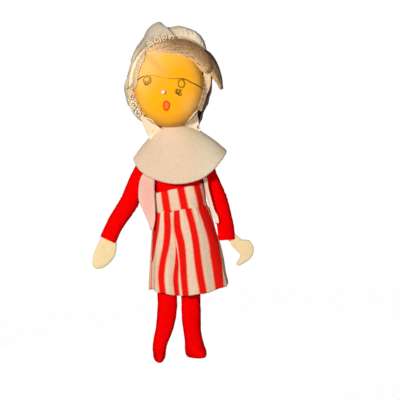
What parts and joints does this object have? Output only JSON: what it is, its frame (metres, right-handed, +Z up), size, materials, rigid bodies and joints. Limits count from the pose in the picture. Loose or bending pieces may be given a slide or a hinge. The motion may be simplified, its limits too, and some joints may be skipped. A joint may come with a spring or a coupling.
{
  "type": "posable felt doll",
  "caption": "Posable stuffed doll of felt with wire limbs, a frilled cap, wire spectacles, a wide collar and a striped apron.",
  "frame": {"origin": "below the middle of the doll's bounding box, on the surface it stands on", "axes": "+Z up through the head, -Y the way the doll faces, +X towards the doll's own left arm (the viewer's right)"},
  "size_m": [0.1212, 0.0594, 0.2521],
  "materials": {
    "stick_wood": "sanded birch",
    "wire": "soft steel wire",
    "spectacle_wire": "thin dark brass wire",
    "batting": "loose fibre filling",
    "red_felt": "dense red felt",
    "red_thread": "twisted thread",
    "striped_cotton": "brushed cotton with red and cream stripes",
    "pale_felt": "pale pink felt",
    "collar_felt": "thick cream felt",
    "face_felt": "smooth golden felt",
    "black_thread": "black embroidery thread",
    "nose_bead": "small polished bead",
    "mouth_felt": "orange-red felt",
    "hair": "combed silvery fibre",
    "cap_cotton": "soft off-white cotton",
    "lace": "gathered lace edging",
    "hand_felt": "cream felt"
  },
  "bodies": {
    "torso": {"spine_stick": "stick_wood", "shoulder_wire": "wire", "hip_wire": "wire", "torso_felt": "red_felt", "torso_stuffing": "batting", "apron_bib": "striped_cotton", "apron_waistband": "striped_cotton", "apron_skirt": "striped_cotton", "left_strap": "pale_felt", "right_strap": "pale_felt", "apron_bow": "pale_felt", "collar": "collar_felt"},
    "neck": {"neck_stalk": "face_felt"},
    "head": {"head_stuffing": "batting", "face_felt": "face_felt", "left_eye": "black_thread", "right_eye": "black_thread", "nose_bead": "nose_bead", "mouth_patch": "mouth_felt", "spectacles": "spectacle_wire", "hair_roll": "hair", "hair_lock": "hair", "cap_crown": "cap_cotton", "cap_frill": "lace", "cap_ties": "cap_cotton"},
    "left_shoulder": {"left_shoulder_thread": "red_thread"},
    "left_upper_arm": {"left_upper_sleeve": "red_felt", "left_upper_batting": "batting", "left_upper_wire": "wire"},
    "left_forearm": {"left_lower_sleeve": "red_felt", "left_lower_batting": "batting", "left_lower_wire": "wire"},
    "left_palm": {"left_hand": "hand_felt"},
    "left_upper_leg": {"left_thigh": "red_felt", "left_thigh_batting": "batting", "left_thigh_wire": "wire"},
    "left_lower_leg": {"left_shin": "red_felt", "left_shin_batting": "batting", "left_shin_wire": "wire"},
    "left_sole": {"left_foot": "red_felt"},
    "right_shoulder": {"right_shoulder_thread": "red_thread"},
    "right_upper_arm": {"right_upper_sleeve": "red_felt", "right_upper_batting": "batting", "right_upper_wire": "wire"},
    "right_forearm": {"right_lower_sleeve": "red_felt", "right_lower_batting": "batting", "right_lower_wire": "wire"},
    "right_palm": {"right_hand": "hand_felt"},
    "right_upper_leg": {"right_thigh": "red_felt", "right_thigh_batting": "batting", "right_thigh_wire": "wire"},
    "right_lower_leg": {"right_shin": "red_felt", "right_shin_batting": "batting", "right_shin_wire": "wire"},
    "right_sole": {"right_foot": "red_felt"}
  },
  "joints": [
    {"name": "neck_turn", "type": "hinge", "parent": "torso", "child": "neck", "pos_m": [0.00999, -0.00108, 0.171], "axis": [0, 0, 1], "range_deg": [-60, 60], "deforming": ["collar"]},
    {"name": "neck_nod", "type": "hinge", "parent": "neck", "child": "head", "pos_m": [0.00999, -0.00108, 0.171], "axis": [1, 0, 0], "range_deg": [-12, 12], "deforming": ["collar"]},
    {"name": "left_shoulder_raise", "type": "hinge", "parent": "torso", "child": "left_shoulder", "pos_m": [-0.01351, -0.00108, 0.15], "axis": [0, 1, 0], "range_deg": [-5, 60], "deforming": ["collar", "left_strap"]},
    {"name": "left_shoulder_swing", "type": "hinge", "parent": "left_shoulder", "child": "left_upper_arm", "pos_m": [-0.01351, -0.00108, 0.15], "axis": [-0.8756, 0, 0.4831], "range_deg": [-35, 50], "deforming": ["collar", "left_strap"]},
    {"name": "left_elbow", "type": "hinge", "parent": "left_upper_arm", "child": "left_forearm", "pos_m": [-0.02951, -0.00108, 0.121], "axis": [-0.8245, 0, 0.5658], "range_deg": [0, 56]},
    {"name": "left_wrist", "type": "hinge", "parent": "left_forearm", "child": "left_palm", "pos_m": [-0.04701, -0.00308, 0.0955], "axis": [0, 1, 0], "range_deg": [-12, 40]},
    {"name": "right_shoulder_raise", "type": "hinge", "parent": "torso", "child": "right_shoulder", "pos_m": [0.03049, -0.00108, 0.15], "axis": [0, -1, 0], "range_deg": [0, 70], "deforming": ["collar", "right_strap"]},
    {"name": "right_shoulder_swing", "type": "hinge", "parent": "right_shoulder", "child": "right_upper_arm", "pos_m": [0.03049, -0.00108, 0.15], "axis": [-0.9736, 0, -0.2282], "range_deg": [-15, 50], "deforming": ["collar", "right_strap"]},
    {"name": "right_elbow", "type": "hinge", "parent": "right_upper_arm", "child": "right_forearm", "pos_m": [0.03799, -0.00108, 0.118], "axis": [-0.9902, 0, -0.1396], "range_deg": [0, 56]},
    {"name": "right_wrist", "type": "hinge", "parent": "right_forearm", "child": "right_palm", "pos_m": [0.04229, -0.00208, 0.0875], "axis": [0, -1, 0], "range_deg": [-40, 28]},
    {"name": "left_hip", "type": "hinge", "parent": "torso", "child": "left_upper_leg", "pos_m": [-0.00251, -0.00108, 0.084], "axis": [-1, 0, 0], "range_deg": [-20, 35], "deforming": ["apron_skirt"]},
    {"name": "left_knee", "type": "hinge", "parent": "left_upper_leg", "child": "left_lower_leg", "pos_m": [-0.00731, -0.00108, 0.0475], "axis": [1, 0, 0], "range_deg": [0, 60], "deforming": ["apron_skirt"]},
    {"name": "left_ankle", "type": "hinge", "parent": "left_lower_leg", "child": "left_sole", "pos_m": [-0.01561, -0.00008, 0.0135], "axis": [-1, 0, 0], "range_deg": [-18, 18]},
    {"name": "right_hip", "type": "hinge", "parent": "torso", "child": "right_upper_leg", "pos_m": [0.01549, -0.00108, 0.084], "axis": [-1, 0, 0], "range_deg": [-20, 35], "deforming": ["apron_skirt"]},
    {"name": "right_knee", "type": "hinge", "parent": "right_upper_leg", "child": "right_lower_leg", "pos_m": [0.01079, -0.00108, 0.0465], "axis": [1, 0, 0], "range_deg": [0, 60], "deforming": ["apron_skirt"]},
    {"name": "right_ankle", "type": "hinge", "parent": "right_lower_leg", "child": "right_sole", "pos_m": [0.01019, -0.00008, 0.0135], "axis": [-1, 0, 0], "range_deg": [-18, 18]}
  ]
}
